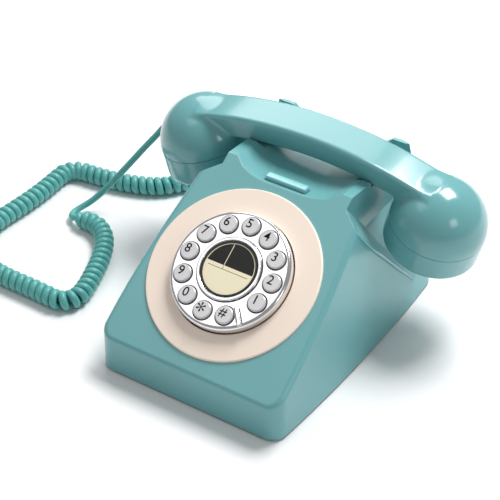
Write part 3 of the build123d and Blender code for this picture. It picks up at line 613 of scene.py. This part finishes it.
def ring_strip(name, centres, inner, outer, height, body, look):
    """Flat rings round some centres on the dial."""
    points, faces = [], []
    for centre in centres:
        first = len(points)
        for step in range(RING_STEPS):
            turn = 2 * math.pi * step / RING_STEPS
            for radius in (inner, outer):
                spot = (centre[0] + radius * math.cos(turn), centre[1] + radius * math.sin(turn))
                points.extend(on_dial([spot], height))
        for step in range(RING_STEPS):
            here, there = first + 2 * step, first + 2 * ((step + 1) % RING_STEPS)
            faces.append((here, here + 1, there + 1, there))
    made = add_object(name, mesh_of(name, points, faces, smooth=False), body)
    made.data.materials.append(looks[look])
    return made


# height of the painted shade rings on the plate
plate_shade_level = PLATE_FACE + PRINT_AND_SHADE_HIGH
# painted shade: flat dark rings round the keys stand in for the shade in their gaps
well_shade = ring_strip("key_well_shade", key_centres, WELL_INNER, WELL_OUTER, plate_shade_level, "base", "shade")
# painted shade: a flat dark ring stands in for the shade at the bezel's edge
rim_shade = ring_strip("bezel_shade_ring", [(0, 0)], RIM_INNER, RIM_OUTER, plate_shade_level, "base", "shade")


def label_area(name, low, high, look):
    """The part of the round label between two levels."""
    spots = []
    start, end = math.asin(low / LABEL_RADIUS), math.asin(min(1.0, high / LABEL_RADIUS))
    for step in range(LABEL_STEPS + 1):
        turn = start + (end - start) * step / LABEL_STEPS
        spots.append((LABEL_RADIUS * math.cos(turn), LABEL_RADIUS * math.sin(turn)))
    left = [(-u, v) for u, v in reversed(spots)]
    points = on_dial(spots + left, LABEL_FACE)
    area = mesh_of(name, points, [tuple(range(len(points)))], smooth=False)
    made = add_object(name, area, "redial")
    made.data.materials.append(looks[look])
    return made


def flat_line(name, start, end, width, look, height, body):
    """A thin flat line on the dial."""
    ahead = Vector(end) - Vector(start)
    side = Vector((-ahead.y, ahead.x)).normalized() * width / 2
    corners = [Vector(start) + side, Vector(start) - side, Vector(end) - side, Vector(end) + side]
    points = on_dial([(c.x, c.y) for c in corners], height)
    made = add_object(name, mesh_of(name, points, [(0, 1, 2, 3)], smooth=False), body)
    made.data.materials.append(looks[look])
    return made


label_low = label_area("label_lower", -LABEL_RADIUS, LABEL_SPLIT, "paper")
label_high = label_area("label_upper", LABEL_SPLIT, LABEL_RADIUS, "ink")
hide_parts("redial_label")
divider_foot, divider_top = (DIVIDER, LABEL_SPLIT), (DIVIDER, DIVIDER_TOP)
rule_left, rule_right = (-RULE_HALF, RULE_LEVEL), (RULE_HALF, RULE_LEVEL)
label_pieces = [
    label_low,
    label_high,
    flat_line("label_divider", divider_foot, divider_top, DIVIDER_WIDTH, "paper", LINE_FACE, "redial"),
    flat_line("label_rule", rule_left, rule_right, THIN, "ink", LINE_FACE, "redial"),
    flat_line("label_tick", divider_foot, (DIVIDER, RULE_LEVEL), THIN, "ink", LINE_FACE, "redial"),
    ring_strip("label_edge", [(0, 0)], EDGE_INNER, EDGE_OUTER, LINE_FACE, "redial", "paper"),
]

# painted shade: dark lines along the finger stop's edges stand in for the shade at them
stop_out = Vector((math.cos(STOP_ANGLE), math.sin(STOP_ANGLE)))
stop_across = Vector((-stop_out.y, stop_out.x))
stop_shade_lines = (
    ("stop_shade_left", STOP_TOP_SIDE, STOP_TOP_WIDTH, STOP_FACE),
    ("stop_shade_right", STOP_SIDE, STOP_WIDTH, PLATE_FACE),
)
for stop_name, side, width, face in stop_shade_lines:
    start = stop_out * STOP_NEAR + stop_across * side
    end = stop_out * STOP_FAR + stop_across * side
    stop_shade_strip = flat_line(stop_name, start, end, width, "shade", face + PRINT_AND_SHADE_HIGH, "base")

# ------------------------------------------------------------ edges of the recesses
LIP = 2.2 * MM                # thickness of the raised lip round each recess
LIP_STEP = 2 * MM
LIP_SIDES = 10
LIP_TIP = 0.02                # the taper stops at this part of the length from each end
LIP_TAPER = 0.35
lip_route = [
    (57.3, 5.2, 89.3),
    (58.8, 11.5, 80.5),
    (60.3, 21.0, 68.5),
    (62.2, 35.0, 52.8),
    (64.1, 48.5, 37.5),
    (65.6, 60.5, 24.5),
    (66.3, 66.5, 17.5),
]
for side, lip_name in ((1, "lip_right"), (-1, "lip_left")):
    route = [(side * x, y, z) for x, y, z in lip_route]
    lip_line, lip_along = spaced(nurbs_line(lip_name, route), LIP_STEP)
    lip_part = np.clip(lip_along / lip_along[-1], LIP_TIP, 1 - LIP_TIP)
    swell = np.sin(math.pi * lip_part) ** LIP_TAPER
    lip = add_object(lip_name, tube(lip_name, lip_line, LIP / 2 * swell, LIP_SIDES), "base")
    lip.data.materials.append(looks["moulded"])

# ------------------------------------------------------------------ light and floor
FLOOR_HALF = 4
WORLD_LIGHT = 0.3

floor_corners = [(x * FLOOR_HALF, y * FLOOR_HALF, 0) for x, y in ((-1, -1), (1, -1), (1, 1), (-1, 1))]
floor = add_object("floor", mesh_of("floor", floor_corners, [(0, 1, 2, 3)]), None)
floor_look = material("floor", (250, 250, 251), 0.6, variation=0.003, grain=30, bump=0.0, specular=0.2)
floor.data.materials.append(floor_look)

world = bpy.data.worlds.new("studio")
world.use_nodes = True
world.node_tree.nodes["Background"].inputs["Color"].default_value = (1.0, 1.0, 1.0, 1)
world.node_tree.nodes["Background"].inputs["Strength"].default_value = WORLD_LIGHT
bpy.context.scene.world = world


def area_light(name, place, target, size, power):
    """A soft box aimed at a point."""
    data = bpy.data.lights.new(name, "AREA")
    data.shape = "SQUARE"
    data.size = size
    data.energy = power
    lamp = bpy.data.objects.new(name, data)
    lamp.location = place
    lamp.rotation_euler = (Vector(target) - Vector(place)).to_track_quat("-Z", "Y").to_euler()
    bpy.context.scene.collection.objects.link(lamp)


area_light("key_light", place=(0.16, 0.55, 1.15), target=(0, 0, 0.05), size=0.5, power=14.5)
area_light("sheen_card", place=(-0.56, 0.86, 0.86), target=(0, 0.05, 0.1), size=0.7, power=4.5)
area_light("front_card", place=(-0.52, -0.40, 1.08), target=(0, -0.04, 0.06), size=0.5, power=0.95)
area_light("side_card", place=(1.1, -0.35, 0.75), target=(0, 0, 0.05), size=0.35, power=1.4)
